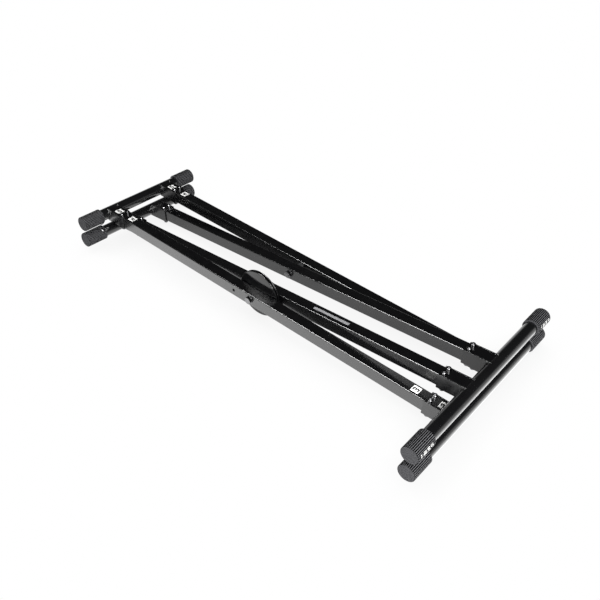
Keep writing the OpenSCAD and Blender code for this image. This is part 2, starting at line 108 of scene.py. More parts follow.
# %% Helpers for colours and nodes
# Places of the Mix node's colour sockets: it has a set of sockets for each type of data
FACTOR, COLOUR_A, COLOUR_B, MIXED = 0, 6, 7, 2


def linear(code, alpha=1.0):
    """Turns #rrggbb to linear light: c / 12.92 when dark, else ((c + 0.055) / 1.055) ^ 2.4."""
    srgb = np.array([int(code[i:i + 2], 16) for i in (1, 3, 5)]) / 255
    light = np.where(srgb <= 0.04045, srgb / 12.92, ((srgb + 0.055) / 1.055) ** 2.4)
    return (*light.tolist(), alpha)


def per_mm(size):
    """The scale that makes a pattern's features about this many millimetres across."""
    return 1000 / size


def put(tree, kind, values=None, links=None, **settings):
    """Adds a node with its settings, its socket values and the links into it."""
    node = tree.nodes.new(kind)
    for name, value in settings.items():
        setattr(node, name, value)
    for socket, value in (values or {}).items():
        node.inputs[socket].default_value = value
    for socket, source in (links or {}).items():
        tree.links.new(source, node.inputs[socket])
    return node


def start_finish(name, **sockets):
    """Makes a material with one Principled shader and returns it with its tree and shader."""
    material = bpy.data.materials.new(name)
    material.use_nodes = True
    tree = material.node_tree
    tree.nodes.clear()
    values = {socket.replace("_", " "): value for socket, value in sockets.items()}
    shader = put(tree, "ShaderNodeBsdfPrincipled", values)
    put(tree, "ShaderNodeOutputMaterial", links={"Surface": shader.outputs["BSDF"]})
    return material, tree, shader


print("the linear light of a mid grey, #808080: %.3f" % linear("#808080")[0])

# %% [markdown]
# ## Powder coat
#
# The steel is black powder coat: dry paint that is baked until it flows. A flat black would do
# from afar, but how well the paint flowed is what tells the pieces apart. The round tubes are
# glossy under a clear skin, with the faint dimples called orange peel. The arms are satin with a
# fine grain, the brackets and welds are duller, and the pressed discs are smooth but less shiny.
# One recipe serves all four, because only the gloss, the grain and the black differ. The peel is
# really about 1 mm across, and is drawn at up to 3.5 mm so that it still breaks up a highlight at
# this picture's size. The baked coat draws back from sharp edges and rounds them by about half a
# millimetre, which gives each edge a fine bright line.

# %% The recipe for powder coat
EDGE_ROUND = 0.0006


def powder_coat(name, dark, light, roughness, spread, peel_mm, peel_depth, lacquer, shine=0.5):
    """A black that clouds between two tones, with pale specks, patches of gloss and a peel."""
    material, tree, shader = start_finish(name, IOR=1.5, Specular_IOR_Level=shine,
                                          Coat_Weight=lacquer, Coat_Roughness=0.12, Coat_IOR=1.5)
    place = put(tree, "ShaderNodeTexCoord")
    cloud = put(tree, "ShaderNodeTexNoise", {"Scale": per_mm(70), "Detail": 3.0},
                {"Vector": place.outputs["Object"]})
    black = put(tree, "ShaderNodeMix", {COLOUR_A: linear(dark), COLOUR_B: linear(light)},
                {FACTOR: cloud.outputs["Fac"]}, data_type="RGBA")
    grain = put(tree, "ShaderNodeTexNoise", {"Scale": per_mm(2.0), "Detail": 2.0},
                {"Vector": place.outputs["Object"]})
    specks = put(tree, "ShaderNodeMapRange",
                 {"From Min": 0.66, "From Max": 0.80, "To Min": 0.0, "To Max": 0.06},
                 {"Value": grain.outputs["Fac"]})
    dusty = put(tree, "ShaderNodeMix", {COLOUR_B: linear("#303033")},
                {FACTOR: specks.outputs["Result"], COLOUR_A: black.outputs[MIXED]},
                data_type="RGBA")
    patches = put(tree, "ShaderNodeTexNoise", {"Scale": per_mm(24), "Detail": 4.0},
                  {"Vector": place.outputs["Object"]})
    rough = put(tree, "ShaderNodeMapRange",
                {"From Min": 0.3, "From Max": 0.7, "To Min": roughness - spread,
                 "To Max": roughness + spread}, {"Value": patches.outputs["Fac"]})
    peel = put(tree, "ShaderNodeTexNoise", {"Scale": per_mm(peel_mm), "Detail": 1.5},
               {"Vector": place.outputs["Object"]})
    soft_edge = put(tree, "ShaderNodeBevel", {"Radius": EDGE_ROUND}, samples=8)
    bump = put(tree, "ShaderNodeBump", {"Strength": 0.35, "Distance": peel_depth},
               {"Height": peel.outputs["Fac"], "Normal": soft_edge.outputs["Normal"]})
    tree.links.new(dusty.outputs[MIXED], shader.inputs["Base Color"])
    tree.links.new(rough.outputs["Result"], shader.inputs["Roughness"])
    tree.links.new(bump.outputs["Normal"], shader.inputs["Normal"])
    return material


print("edges look rounded by %.1f mm" % (1000 * EDGE_ROUND))

# %% Four powder coats
gloss_coat = powder_coat("gloss_black_powder_coat", "#070708", "#0b0b0c", roughness=0.19,
                         spread=0.04, peel_mm=3.0, peel_depth=0.00012, lacquer=0.8)
satin_coat = powder_coat("satin_black_powder_coat", "#040405", "#070708", roughness=0.22,
                         spread=0.04, peel_mm=1.6, peel_depth=0.00004, lacquer=0.3, shine=0.42)
bracket_coat = powder_coat("satin_black_bracket_coat", "#040405", "#070708", roughness=0.28,
                           spread=0.05, peel_mm=1.8, peel_depth=0.00005, lacquer=0.15, shine=0.42)
disc_coat = powder_coat("gloss_black_disc_coat", "#040405", "#070708", roughness=0.12,
                        spread=0.02, peel_mm=3.5, peel_depth=0.00003, lacquer=0.0, shine=0.36)
print("powder coats:", [coat.name for coat in (gloss_coat, satin_coat, bracket_coat, disc_coat)])

# %% [markdown]
# ## Rubber
#
# The end caps are moulded from dark grey rubber, ribbed lengthwise for grip. Out of the mould it
# is matte with a very fine grain. Hands and floors rub the ribs' crests pale and dull, so the
# rubber's grey shows along a narrow line in each crest's middle, while the grooves and the
# crests' sides are painted near black, which is painted shade. The rubbing and the shade could
# be painted on a UV map, but a formula needs no map and fits all eight caps. Crest and groove
# differ by their distance from the tube's axis: the caps lie mirrored about the middle of the
# stand, and folding Y and Z onto one tube gives a single distance for all of them. The angle
# round that tube counts the ribs: a wave that is zero at each rib's middle confines the grey to
# a narrow line there and leaves the rest in painted shade. The flat end faces along X, and is a
# smooth mid grey of its own, a little darker than the crests, painted as shade for the way it
# faces the light.

# %% Distance and angle round the caps' axis
RIBS = 32
rubber, tree, shader = start_finish("moulded_grey_rubber", IOR=1.5)
place = put(tree, "ShaderNodeTexCoord")
axes = put(tree, "ShaderNodeSeparateXYZ", links={0: place.outputs["Object"]})


def folded(tree, value, middle, half):
    """A coordinate folded about the middle, from half the tubes' distance: half - |v - middle|."""
    offset = put(tree, "ShaderNodeMath", {1: middle}, {0: value}, operation="SUBTRACT")
    apart = put(tree, "ShaderNodeMath", links={0: offset.outputs[0]}, operation="ABSOLUTE")
    return put(tree, "ShaderNodeMath", {1: half}, {0: apart.outputs[0]}, operation="SUBTRACT")


from_axis = put(tree, "ShaderNodeCombineXYZ",
                links={"Y": folded(tree, axes.outputs["Y"], 0.0, TUBE_Y).outputs[0],
                       "Z": folded(tree, axes.outputs["Z"], PIVOT_Z, HALF_STACK).outputs[0]})
distance = put(tree, "ShaderNodeVectorMath", links={0: from_axis.outputs[0]}, operation="LENGTH")
about = put(tree, "ShaderNodeSeparateXYZ", links={0: from_axis.outputs[0]})
turned = put(tree, "ShaderNodeMath", links={0: about.outputs["Z"], 1: about.outputs["Y"]},
             operation="ARCTAN2")
print("ribs round each cap:", RIBS, "on a radius of", round(CAP_R, 4))

# %% Where the ribs are rubbed grey, and where their shade is painted
# How far below the cap's radius the crest's grey begins over the painted groove shade, and where it is full
CREST_FROM, CREST_FULL = 0.0004, 0.00003
# Half the width of the crest's rubbed grey line, and where it has faded to painted shade, as shares of the way
# from rib to rib
LINE_HALF, LINE_FADED = 0.12, 0.22
crest = put(tree, "ShaderNodeMapRange",
            {"From Min": CAP_R - CREST_FROM, "From Max": CAP_R - CREST_FULL},
            {"Value": distance.outputs["Value"]})
ribs_round = put(tree, "ShaderNodeMath", {1: RIBS / (2 * pi)}, {0: turned.outputs[0]},
                 operation="MULTIPLY")
off_middle = put(tree, "ShaderNodeMath", {1: 0.5}, {0: ribs_round.outputs[0]},
                 operation="PINGPONG")
line = put(tree, "ShaderNodeMapRange", {"From Min": LINE_FADED, "From Max": LINE_HALF},
           {"Value": off_middle.outputs[0]})
wear_and_groove_shade = put(tree, "ShaderNodeMath",
           links={0: crest.outputs["Result"], 1: line.outputs["Result"]}, operation="MULTIPLY")
print("worn lines: %.1f mm wide" % (1000 * 2 * LINE_HALF * 2 * pi / RIBS * CAP_R))

# %% Moulded rubber
mould = put(tree, "ShaderNodeTexNoise", {"Scale": per_mm(9), "Detail": 5.0, "Roughness": 0.65},
            {"Vector": place.outputs["Object"]})
polish = put(tree, "ShaderNodeMapRange", {"To Min": 0.02, "To Max": 0.32},
             {"Value": wear_and_groove_shade.outputs[0]})
tree.links.new(polish.outputs["Result"], shader.inputs["Specular IOR Level"])
crest_grey = put(tree, "ShaderNodeMix", {COLOUR_A: linear("#464648"), COLOUR_B: linear("#545457")},
           {FACTOR: mould.outputs["Fac"]}, data_type="RGBA")
# Near black in the grooves and on the crests' sides is painted shade; the rubber's grey shows on the crests'
# middle lines
ribbed = put(tree, "ShaderNodeMix", {COLOUR_A: linear("#040404")},
             {FACTOR: wear_and_groove_shade.outputs[0], COLOUR_B: crest_grey.outputs[MIXED]}, data_type="RGBA")
faces = put(tree, "ShaderNodeNewGeometry")
facing = put(tree, "ShaderNodeSeparateXYZ", links={0: faces.outputs["Normal"]})
across = put(tree, "ShaderNodeMath", links={0: facing.outputs["X"]}, operation="ABSOLUTE")
# The end faces, picked by their direction, get a darker grey of their own: painted shade
flat_end = put(tree, "ShaderNodeMapRange", {"From Min": 0.90, "From Max": 0.99},
               {"Value": across.outputs[0]})
end_face_shade_grey = put(tree, "ShaderNodeMix", {COLOUR_A: linear("#3b3b3d"), COLOUR_B: linear("#434345")},
               {FACTOR: mould.outputs["Fac"]}, data_type="RGBA")
cap_tone = put(tree, "ShaderNodeMix",
               links={FACTOR: flat_end.outputs["Result"], COLOUR_A: ribbed.outputs[MIXED],
                      COLOUR_B: end_face_shade_grey.outputs[MIXED]}, data_type="RGBA")
fine = put(tree, "ShaderNodeTexNoise", {"Scale": per_mm(1.2), "Detail": 3.0},
           {"Vector": place.outputs["Object"]})
bump = put(tree, "ShaderNodeBump", {"Strength": 0.2, "Distance": 0.00006},
           {"Height": fine.outputs["Fac"]})
rough = put(tree, "ShaderNodeMapRange", {"To Min": 0.55, "To Max": 0.75},
            {"Value": mould.outputs["Fac"]})
tree.links.new(cap_tone.outputs[MIXED], shader.inputs["Base Color"])
tree.links.new(rough.outputs["Result"], shader.inputs["Roughness"])
tree.links.new(bump.outputs["Normal"], shader.inputs["Normal"])
print("rubber made of", len(tree.nodes), "shader nodes")

# %% [markdown]
# ## Bright metal
#
# Bolts, washers and nuts are zinc plated: a neutral grey metal, dulled by the air, with faint
# cloudy patches from the plating bath and short fine scratches from handling. The spring is bare
# drawn wire, which is paler here and less mirror-like. Both are metallic all over, so what they
# show is the studio, and a plain grey would look like paint.


# %% Zinc plate and spring wire
def bright_metal(name, low, high, roughness, cloud_mm, scratch_depth):
    """Metal between two greys, whose gloss follows noise that is squeezed into short lines."""
    material, tree, shader = start_finish(name, Metallic=1.0)
    place = put(tree, "ShaderNodeTexCoord")
    cloud = put(tree, "ShaderNodeTexNoise", {"Scale": per_mm(cloud_mm), "Detail": 4.0},
                {"Vector": place.outputs["Object"]})
    tone = put(tree, "ShaderNodeMix", {COLOUR_A: linear(low), COLOUR_B: linear(high)},
               {FACTOR: cloud.outputs["Fac"]}, data_type="RGBA")
    squeeze = put(tree, "ShaderNodeMapping", {"Scale": (1.0, 1.0, 6.0)},
                  {"Vector": place.outputs["Object"]})
    lines = put(tree, "ShaderNodeTexNoise", {"Scale": per_mm(1.5), "Detail": 3.0},
                {"Vector": squeeze.outputs["Vector"]})
    rough = put(tree, "ShaderNodeMapRange",
                {"To Min": roughness - 0.08, "To Max": roughness + 0.12},
                {"Value": lines.outputs["Fac"]})
    bump = put(tree, "ShaderNodeBump", {"Strength": 0.25, "Distance": scratch_depth},
               {"Height": lines.outputs["Fac"]})
    tree.links.new(tone.outputs[MIXED], shader.inputs["Base Color"])
    tree.links.new(rough.outputs["Result"], shader.inputs["Roughness"])
    tree.links.new(bump.outputs["Normal"], shader.inputs["Normal"])
    return material


zinc = bright_metal("zinc_plate", "#4b4b4c", "#747475", roughness=0.14, cloud_mm=5,
                    scratch_depth=0.00006)
wire = bright_metal("drawn_spring_wire", "#6f6f70", "#8e8e90", roughness=0.26, cloud_mm=3,
                    scratch_depth=0.00005)
print("metals:", zinc.name, "and", wire.name)

# %% [markdown]
# ## Plastics
#
# The pivot bushes and spacers are black nylon: slightly waxy, with a faint mottle. The pull knob
# is black polypropylene with the fine grain of a spark-eroded mould. A Voronoi pattern has such
# a grain's small separate cells, where noise would look like dust.


# %% Moulded plastics
def moulded_plastic(name, low, high, roughness, grain_mm):
    """A plastic mottled between two tones, with a bump of small cells from its mould."""
    material, tree, shader = start_finish(name, IOR=1.5)
    place = put(tree, "ShaderNodeTexCoord")
    mottle = put(tree, "ShaderNodeTexNoise", {"Scale": per_mm(6), "Detail": 4.0},
                 {"Vector": place.outputs["Object"]})
    tone = put(tree, "ShaderNodeMix", {COLOUR_A: linear(low), COLOUR_B: linear(high)},
               {FACTOR: mottle.outputs["Fac"]}, data_type="RGBA")
    grain = put(tree, "ShaderNodeTexVoronoi", {"Scale": per_mm(grain_mm)},
                {"Vector": place.outputs["Object"]})
    bump = put(tree, "ShaderNodeBump", {"Strength": 0.3, "Distance": 0.0001},
               {"Height": grain.outputs["Distance"]})
    rough = put(tree, "ShaderNodeMapRange",
                {"To Min": roughness - 0.06, "To Max": roughness + 0.06},
                {"Value": mottle.outputs["Fac"]})
    tree.links.new(tone.outputs[MIXED], shader.inputs["Base Color"])
    tree.links.new(rough.outputs["Result"], shader.inputs["Roughness"])
    tree.links.new(bump.outputs["Normal"], shader.inputs["Normal"])
    return material


nylon = moulded_plastic("black_nylon", "#151516", "#212123", roughness=0.42, grain_mm=1.0)
knob_plastic = moulded_plastic("grained_black_polypropylene", "#131314", "#1c1c1e",
                               roughness=0.5, grain_mm=1.2)
print("plastics:", nylon.name, "and", knob_plastic.name)

# %% [markdown]
# ## Dress the solids
#
# Each solid keeps its mesh, and only its material slot changes. Each could be dressed by name,
# but the record says which finish each one has, so one table from the record's slots to the
# finishes dresses them all and misses none.

# %% Give every solid its finish
finish_of = {"tube_paint": gloss_coat, "arm_paint": satin_coat, "bracket_paint": bracket_coat,
             "disc_paint": disc_coat, "cap_rubber": rubber, "zinc_hardware": zinc,
             "spring_wire": wire, "nylon": nylon, "knob_plastic": knob_plastic}
for entry in frame["record"]["subparts"]:
    mesh = nodes[entry["node"]].data
    mesh.materials.clear()
    mesh.materials.append(finish_of[entry["material_slot"]])

# %% [markdown]
# ## Along the sloping arms
#
# Stickers and labels lie on the arms' tops, which slope by a few degrees while the stand is
# folded. Turning each one by hand would leave gaps, so one function takes points measured from
# an arm's end, as on a workbench, and puts them where that arm really is.

# %% A place on an arm
# An arm's height square to its length, which the box of a sloping arm doesn't give
ARM_H = 0.030
# An arm's middle line passes this far from its foot tube's axis
ARM_OFFSET = 0.0008
SLOPE = atan((HALF_STACK - ARM_OFFSET) / (TUBE_Y + PIVOT_Y))
END_SIGN = {"foot": -1, "support": 1}
FRAME_SIGN = {"outer": 1, "inner": -1}
SIDE_SIGN = {"left": -1, "right": 1}


def arm_place(arm, points):
    """Moves points (across, inwards, up) from an arm's end to the stand: turned by the slope
    about the pivot, with 'inwards' running from the cross tube towards the pivot."""
    kind, side, end = arm
    reach = abs(END_SIGN[end] * TUBE_Y - PIVOT_Y) / cos(SLOPE)
    along = END_SIGN[end] * (reach - points[..., 1])
    slope = FRAME_SIGN[kind] * SLOPE
    x = SIDE_SIGN[side] * ARM_X[kind] + points[..., 0]
    y = PIVOT_Y + along * cos(slope) - points[..., 2] * sin(slope)
    z = PIVOT_Z + along * sin(slope) + points[..., 2] * cos(slope)
    return np.stack([x, y, z], axis=-1)


print("slope of the folded arms: %.2f degrees" % degrees(SLOPE))

# %% [markdown]
# ## Meshes from arrays
#
# Blender's own tools could build the small pieces below, but arrays show the formula of each
# one. A tube of any course is a row of rings: the points are worked out as one array, each point
# is joined to its neighbours along the ring and to those of the next ring, and both ends close.


# %% Rings to a mesh, and a mesh to a piece
def tube_mesh(rings):
    """Points and faces of a tube through rings of points, with one face to close each end."""
    count, sides = rings.shape[:2]
    row, column = np.meshgrid(np.arange(count - 1), np.arange(sides), indexing="ij")
    following = (column + 1) % sides
    quads = np.stack([row * sides + column, row * sides + following,
                      (row + 1) * sides + following, (row + 1) * sides + column], axis=-1)
    first, last = range(sides), range((count - 1) * sides, count * sides)
    return rings.reshape(-1, 3), quads.reshape(-1, 4).tolist() + [list(first)[::-1], list(last)]


def join(parts):
    """Several meshes as one: each one's faces count on from the points before it."""
    points, faces, start = [], [], 0
    for part_points, part_faces in parts:
        faces += [[start + i for i in face] for face in part_faces]
        points.append(part_points)
        start += len(part_points)
    return np.concatenate(points), faces


def make_piece(name, points, faces, material, body, smooth=True):
    """Puts points and faces in a mesh at the origin, which rides on a body and has a slot."""
    mesh = bpy.data.meshes.new(name)
    mesh.from_pydata(points.tolist(), [], faces)
    mesh.validate()
    mesh.polygons.foreach_set("use_smooth", np.full(len(mesh.polygons), smooth))
    mesh.materials.append(material)
    piece = bpy.data.objects.new(name, mesh)
    bpy.context.scene.collection.objects.link(piece)
    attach(piece, body)
    return piece


print("a tube of 3 rings of 4 points has", len(tube_mesh(np.zeros((3, 4, 3)))[1]), "faces")

# %% [markdown]
# ## Weld beads
#
# Each channel bracket is welded to its round tube before painting. A weld bead is a soft ridge
# with ripples a couple of millimetres apart, left by the torch as it steps along. A bevelled
# curve would give a smooth ridge, but these ripples want a radius that changes along the way, so
# the rings are computed: the bead follows the tube's circle beside each bracket wall, and the
# brackets' paint covers it.

# %% Weld beads beside the brackets
# A bead's radius, and the height of its middle over the tube
BEAD_R, BEAD_LIFT = 0.0013, 0.0004
# The distance between ripples, and how far one swells, as a share of the radius
RIPPLE, SWELL = 0.0022, 0.14
# The angles round the tube between which a bead runs, and the number of its rings
BEAD_START, BEAD_STOP, BEAD_POINTS = -80, 78, 120
# From a bracket's middle to a bead, which is just outside the wall's outer face
BEAD_X = 0.0167


def bead(path, sides=10):
    """Rings of radius r (1 + swell cos(2 pi s / ripple)) round a path in a plane across X, with
    s the length along the path; the ends shrink to closed points."""
    step = np.gradient(path, axis=0)
    step /= np.linalg.norm(step, axis=1, keepdims=True)
    across = np.array([1.0, 0.0, 0.0])
    outward = np.cross(step, across)
    length = np.concatenate([[0], np.cumsum(np.linalg.norm(np.diff(path, axis=0), axis=1))])
    from_end = np.minimum(length, length[-1] - length) / BEAD_R
    rippled = BEAD_R * (1 + SWELL * np.cos(2 * pi * length / RIPPLE))
    size = rippled * np.sqrt(np.clip(from_end, 1e-4, 1))
    angle = np.linspace(0, 2 * pi, sides, endpoint=False)
    sideways = np.cos(angle)[None, :, None] * across
    ring = sideways + np.sin(angle)[None, :, None] * outward[:, None, :]
    return path[:, None, :] + size[:, None, None] * ring


def weld(kind, end, side):
    """Two beads, one on each wall of a bracket, on the part of the tube that faces the arm."""
    y0, z0 = tube_axis(kind, end)
    angle = np.radians(np.linspace(BEAD_START, BEAD_STOP, BEAD_POINTS))
    reach = TUBE_R + BEAD_LIFT
    y, z = y0 - END_SIGN[end] * reach * np.cos(angle), z0 + reach * np.sin(angle)
    wall_x = [SIDE_SIGN[side] * ARM_X[kind] + wall * BEAD_X for wall in (-1, 1)]
    paths = [np.stack([np.full_like(angle, x), y, z], axis=-1) for x in wall_x]
    points, faces = join([tube_mesh(bead(path)) for path in paths])
    return make_piece(f"{kind}_{end}_weld_{side}", points, faces, bracket_coat,
                      f"{kind}_frame")


welds = [weld(kind, end, side) for kind in ARM_X for end in END_SIGN for side in SIDE_SIGN]
print("weld beads:", len(welds) * 2)

# %% [markdown]
# ## The lock spring
#
# The lock pin's spring shortens when the knob is pulled. The solid one is rigid and would cut
# into the pin's collar, so it is drawn here as a wire. The wire's middle runs along a helix: with
# t from 0 to the number of turns, it is at the angle 2 pi t round the pin and at x0 + L t / turns
# along it. Round it, a point at the angle a on the wire lies at the distance R + r cos a from the
# pin and r sin a further along.

# %% Wire swept along a helix
WIRE_R, TURNS, STEPS_A_TURN = 0.00045, 5, 24


def helix_rings(low, high, sides=10):
    """Rings round a helix along X that fills the box between two corners."""
    y0, z0 = (low[1:] + high[1:]) / 2
    mean_r = (high[1] - low[1]) / 2 - WIRE_R
    t = np.linspace(0, TURNS, STEPS_A_TURN * TURNS + 1)[:, None]
    along = low[0] + WIRE_R + (high[0] - low[0] - 2 * WIRE_R) * t / TURNS
    a = np.linspace(0, 2 * pi, sides, endpoint=False)
    reach = mean_r + WIRE_R * np.cos(a)
    return np.stack([along + WIRE_R * np.sin(a), y0 + reach * np.cos(2 * pi * t),
                     z0 + reach * np.sin(2 * pi * t)], axis=-1)


spring_low, spring_high = box("lock_spring")
points, faces = tube_mesh(helix_rings(spring_low, spring_high))
# This helix turns the rings' faces inwards, so each is reversed
faces = [face[::-1] for face in faces]
spring = make_piece("lock_spring_wire", points, faces, wire, "inner_frame")
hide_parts("lock_spring")
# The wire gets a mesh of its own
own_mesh(spring)

# %% [markdown]
# ## Number stickers
#
# Small white paper stickers mark the joints, so that whoever assembles the stand can match the
# frames. They could be an image on the arms' paint, but real ones have an edge that catches
# light: each is an 18 mm square plate of coated paper with round corners, 0.12 mm thick, and its
# plain number is a second, thinner plate of black ink on top. Paper scatters light evenly and ink
# is a little glossier. The same recipe gives the label's grey film, which has a soft sheen, and
# the white print on the caps, which is matte.


# %% Sticker paper, ink, film and print
def thin_stock(name, low, high, grain_mm, rough_low, rough_high, relief):
    """Paper, film or ink: a fine mottle of two tones, with a roughness that follows it."""
    material, tree, shader = start_finish(name, IOR=1.45)
    place = put(tree, "ShaderNodeTexCoord")
    fibre = put(tree, "ShaderNodeTexNoise", {"Scale": per_mm(grain_mm), "Detail": 4.0},
                {"Vector": place.outputs["Object"]})
    tone = put(tree, "ShaderNodeMix", {COLOUR_A: linear(low), COLOUR_B: linear(high)},
               {FACTOR: fibre.outputs["Fac"]}, data_type="RGBA")
    rough = put(tree, "ShaderNodeMapRange", {"To Min": rough_low, "To Max": rough_high},
                {"Value": fibre.outputs["Fac"]})
    bump = put(tree, "ShaderNodeBump", {"Strength": 0.2, "Distance": relief},
               {"Height": fibre.outputs["Fac"]})
    tree.links.new(tone.outputs[MIXED], shader.inputs["Base Color"])
    tree.links.new(rough.outputs["Result"], shader.inputs["Roughness"])
    tree.links.new(bump.outputs["Normal"], shader.inputs["Normal"])
    return material


paper = thin_stock("coated_sticker_paper", "#ececea", "#f8f8f6", 2.5, 0.45, 0.60, 0.00005)
ink = thin_stock("printed_black_ink", "#0a0a0b", "#19191b", 1.0, 0.40, 0.55, 0.00001)
film = thin_stock("bare_grey_label_film", "#7c7c7e", "#98989a", 7.0, 0.30, 0.45, 0.00002)
pad_print = thin_stock("white_pad_print", "#e2e2e0", "#f6f6f4", 3.0, 0.40, 0.60, 0.00003)
print("thin stock:", [stock.name for stock in (paper, ink, film, pad_print)])


# %% Thin plates on the arms
def rounded_outline(width, length, radius, count=8):
    """Four quarter circles of the corner radius, joined by straight sides."""
    angle = np.radians(np.linspace(0, 90, count))
    corners = [(1, 1, 0), (-1, 1, 90), (-1, -1, 180), (1, -1, 270)]
    parts = [np.stack([sx * (width / 2 - radius) + radius * np.cos(angle + radians(turn)),
                       sy * (length / 2 - radius) + radius * np.sin(angle + radians(turn))],
                      axis=-1) for sx, sy, turn in corners]
    return np.concatenate(parts)


def plate(outline, low, high):
    """A flat plate: the outline at two heights, with a face at the top and the bottom."""
    count = len(outline)
    points = np.concatenate([np.column_stack([outline, np.full(count, h)]) for h in (low, high)])
    ring = np.arange(count)
    after = (ring + 1) % count
    walls = np.stack([ring, after, after + count, ring + count], axis=-1).tolist()
    return points, walls + [list(range(count))[::-1], list(range(count, 2 * count))]


def lay_plate(name, outline, low, high, arm, inwards, material):
    """Lays a plate on an arm's top; a far arm's end mirrors it, so its faces are reversed."""
    points, faces = plate(outline, low, high)
    moved = arm_place(arm, points + np.array([0, inwards, ARM_H / 2]))
    if arm[-1] == "support":
        faces = [face[::-1] for face in faces]
    return make_piece(name, moved, faces, material, f"{arm[0]}_frame", smooth=False)


STICKER, STICKER_CORNER, PAPER_T, INK_T = 0.018, 0.0015, 0.00012, 0.00004
square = rounded_outline(STICKER, STICKER, STICKER_CORNER)
print("a sticker's outline has", len(square), "points")

# %% Outlines of the plain numbers
# Each is drawn in a cell 4 wide and 6 high, with square corners
NUMBER_CELL = (4, 6)
NUMBERS = {
    1: [(1.5, 0), (2.9, 0), (2.9, 6), (1.5, 6), (1.5, 5.3), (0.5, 5.3), (0.5, 4), (1.5, 4)],
    2: [(0.1, 0), (3.9, 0), (3.9, 1.3), (1.5, 1.3), (1.5, 2.4), (3.9, 2.4), (3.9, 6), (0.1, 6),
        (0.1, 4.7), (2.5, 4.7), (2.5, 3.6), (0.1, 3.6)],
    3: [(0.1, 0), (3.9, 0), (3.9, 6), (0.1, 6), (0.1, 4.7), (2.5, 4.7), (2.5, 3.6), (0.9, 3.6),
        (0.9, 2.4), (2.5, 2.4), (2.5, 1.3), (0.1, 1.3)],
    4: [(2.3, 0), (3.7, 0), (3.7, 6), (2.3, 6), (2.3, 2.9), (1.5, 2.9), (1.5, 6), (0.1, 6),
        (0.1, 1.6), (2.3, 1.6)]}
print("numbers drawn:", list(NUMBERS))

# %% Stickers with plain numbers
# A unit of the number's cell, as a share of the sticker's side
CELL_SHARE = 0.13


def sticker(name, side, end, inwards, number):
    """A square of paper, and on it the number's outline, centred on its cell's middle."""
    arm = ("outer", side, end)
    lay_plate(name, square, 0.0, PAPER_T, arm, inwards, paper)
    outline = (np.array(NUMBERS[number]) - np.array(NUMBER_CELL) / 2) * STICKER * CELL_SHARE
    lay_plate(name + "_number", outline, PAPER_T, PAPER_T + INK_T, arm, inwards, ink)


# Each one's distance inwards from its cross tube is as the photograph shows it
sticker("sticker_outer_foot_left", "left", "foot", 0.0935, 3)
sticker("sticker_outer_foot_joint", "left", "foot", 0.030, 2)
sticker("sticker_outer_support_left", "left", "support", 0.0865, 4)
sticker("sticker_outer_support_right", "right", "support", 0.0865, 4)
sticker("sticker_outer_support_left_joint", "left", "support", 0.0335, 2)
sticker("sticker_outer_support_right_joint", "right", "support", 0.0335, 2)

# %% [markdown]
# ## A plain label
#
# A narrow strip of plain grey film lies along the top of the left inner arm, cut with small round
# corners. It could be painted on the arm's top, but as a plate it has an edge and a sheen of its
# own, and it is laid just as the stickers are.

# %% Label strip
LABEL_W, LABEL_L, LABEL_CORNER, LABEL_T = 0.0075, 0.096, 0.001, 0.00012
# From the foot tube to the strip's middle, along the arm
LABEL_INWARDS = 0.341
lay_plate("label_strip", rounded_outline(LABEL_W, LABEL_L, LABEL_CORNER), 0.0, LABEL_T,
          ("inner", "left", "foot"), LABEL_INWARDS, film)
print("label: %.0f x %.1f mm" % (1000 * LABEL_L, 1000 * LABEL_W))

# %% [markdown]
# ## Numbers on the caps
#
# The two upper caps at the feet carry the plain numbers 1 to 4 in white print on their outer
# side. One smooth sheet of digits would bridge the grooves, but the pad that prints them touches
# the ribs' crests only, so each crest has the parts of a number's outline that lie at its height.
# With v the height on the rolled-out cap and R its radius, a point (u, v) goes to x = x0 + u at
# the angle a = a0 - v / R round the tube.

# %% Pad print on the ribs
# A crest's half-width, and the print's thickness
CREST_HALF, PRINT_T = 0.0009, 0.00004
# The print is centred on this rib, counted upwards from the inner side of the tube
PRINT_RIB = 15
PRINT_ANGLE = 2 * pi * PRINT_RIB / RIBS
# A number cell's unit along and round the cap, and the distance from one number to the next
CELL_U, CELL_V, PITCH = 0.0022, 0.0013, 0.0115
# Where the line of numbers begins on each cap, along X
PRINT_X = {"left": -0.2560, "right": 0.2120}


def crossings(outline, level):
    """Where a line at this height is inside a square-cornered outline, as pairs of x."""
    start, end = np.array(outline), np.roll(outline, -1, axis=0)
    lowest, highest = np.minimum(start[:, 1], end[:, 1]), np.maximum(start[:, 1], end[:, 1])
    upright = (lowest < level) & (level < highest)
    return np.sort(start[upright, 0]).reshape(-1, 2)


def printed_strokes(number, start_x):
    """The strokes of a number on three crests, each a thin box rolled onto the cap."""
    y0, z0 = tube_axis("inner", "foot")
    rib, half_high = 2 * pi / RIBS * CAP_R, NUMBER_CELL[1] / 2 * CELL_V
    for crest in (-rib, 0, rib):
        v0, v1 = max(-half_high, crest - CREST_HALF), min(half_high, crest + CREST_HALF)
        level = crest / CELL_V + NUMBER_CELL[1] / 2
        for x0, x1 in crossings(NUMBERS[number], level) * CELL_U:
            flat, faces = plate(np.array([(x0, v0), (x1, v0), (x1, v1), (x0, v1)]), 0.0, PRINT_T)
            radius, angle = CAP_R + flat[:, 2], PRINT_ANGLE - flat[:, 1] / CAP_R
            yield np.stack([start_x + flat[:, 0], y0 + radius * np.cos(angle),
                            z0 + radius * np.sin(angle)], axis=-1), faces


for side, start_x in PRINT_X.items():
    strokes = [part for place, number in enumerate(NUMBERS)
               for part in printed_strokes(number, start_x + place * PITCH)]
    points, faces = join(strokes)
    make_piece(f"cap_print_{side}", points, faces, pad_print, "inner_frame",
               smooth=False)
print("printed strokes on each cap:", len(strokes))

